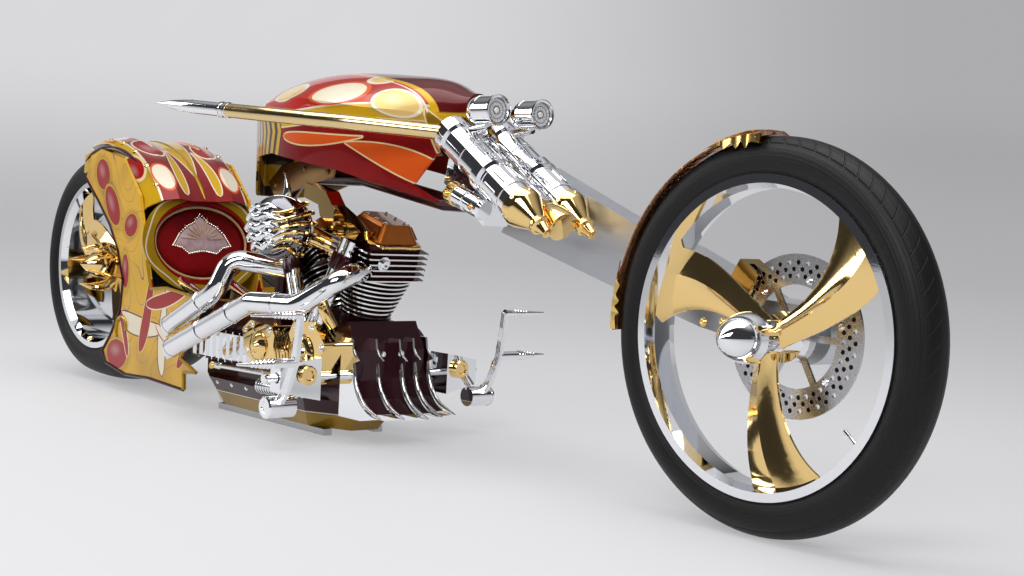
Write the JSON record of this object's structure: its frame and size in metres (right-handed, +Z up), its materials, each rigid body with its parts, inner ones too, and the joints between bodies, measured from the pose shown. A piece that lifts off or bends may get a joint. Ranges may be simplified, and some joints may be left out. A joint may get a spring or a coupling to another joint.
{
  "type": "chopper motorcycle",
  "caption": "Long low custom chopper with a single-sided raked fork, tall slim front wheel, open V engine, helmet-shaped tank, scooped seat and a very wide rear tyre.",
  "frame": {"origin": "on the floor below the centre of the overall box", "axes": "+X forward, +Y to the rider's left, +Z up"},
  "size_m": [3.0479, 0.856, 0.8464],
  "materials": {
    "amber": "amber candy paint",
    "base": "olive gold paint",
    "belt": "matte",
    "chrome": "mirror chrome",
    "glass": "clear",
    "gold": "polished gold plate",
    "maroon": "deep maroon gloss",
    "paint": "candy red and gold gloss paint",
    "polished": "brushed and polished",
    "steel": "brushed",
    "tyre": "satin",
    "velvet": "red velvet"
  },
  "bodies": {
    "chassis": {"air_cleaner": "chrome", "barrels": "maroon", "cam_cover": "gold", "chin_blades": "chrome", "chin_panels": "maroon", "crankcase": "maroon", "drive_belt": "belt", "drive_pulley": "steel", "exhaust_pipes": "chrome", "foot_controls": "chrome", "frame_base": "base", "frame_head": "polished", "fuel_tank": "paint", "gearbox": "maroon", "heads": "maroon", "intake": "gold", "primary_cover": "maroon", "pushrods": "chrome", "rear_axle": "steel", "rear_fender": "paint", "rear_flanks": "paint", "ribbed_cover": "chrome", "rocker_covers": "amber", "seat_dish": "base", "seat_pad": "velvet", "seat_rails": "chrome", "skids": "steel", "swingarm": "polished"},
    "fork": {"fork_crown": "chrome", "fork_legs": "chrome", "fork_caps": "gold", "fork_beam": "polished", "front_axle": "steel", "handlebars": "gold", "bar_spears": "chrome", "bar_clamp": "chrome", "lamps": "chrome", "lamp_lenses": "glass", "front_caliper": "gold", "front_fender": "amber"},
    "front_wheel": {"front_tyre": "tyre", "front_rim": "chrome", "front_blades": "gold", "front_hub": "chrome", "front_disc": "steel"},
    "rear_wheel": {"rear_tyre": "tyre", "rear_rim": "chrome", "rear_blades": "gold", "rear_hub": "chrome", "rear_pulley": "steel"}
  },
  "joints": [
    {"name": "steering", "type": "hinge", "parent": "chassis", "child": "fork", "pos_m": [0.313, 0, 0.605], "axis": [-0.8476, 0, 0.5307], "range_deg": [-15, 15]},
    {"name": "front_wheel_spin", "type": "hinge", "parent": "fork", "child": "front_wheel", "pos_m": [1.1765, 0, 0.3475], "axis": [0, 1, 0], "continuous": true},
    {"name": "rear_wheel_spin", "type": "hinge", "parent": "chassis", "child": "rear_wheel", "pos_m": [-1.1905, 0, 0.3335], "axis": [0, 1, 0], "continuous": true}
  ]
}
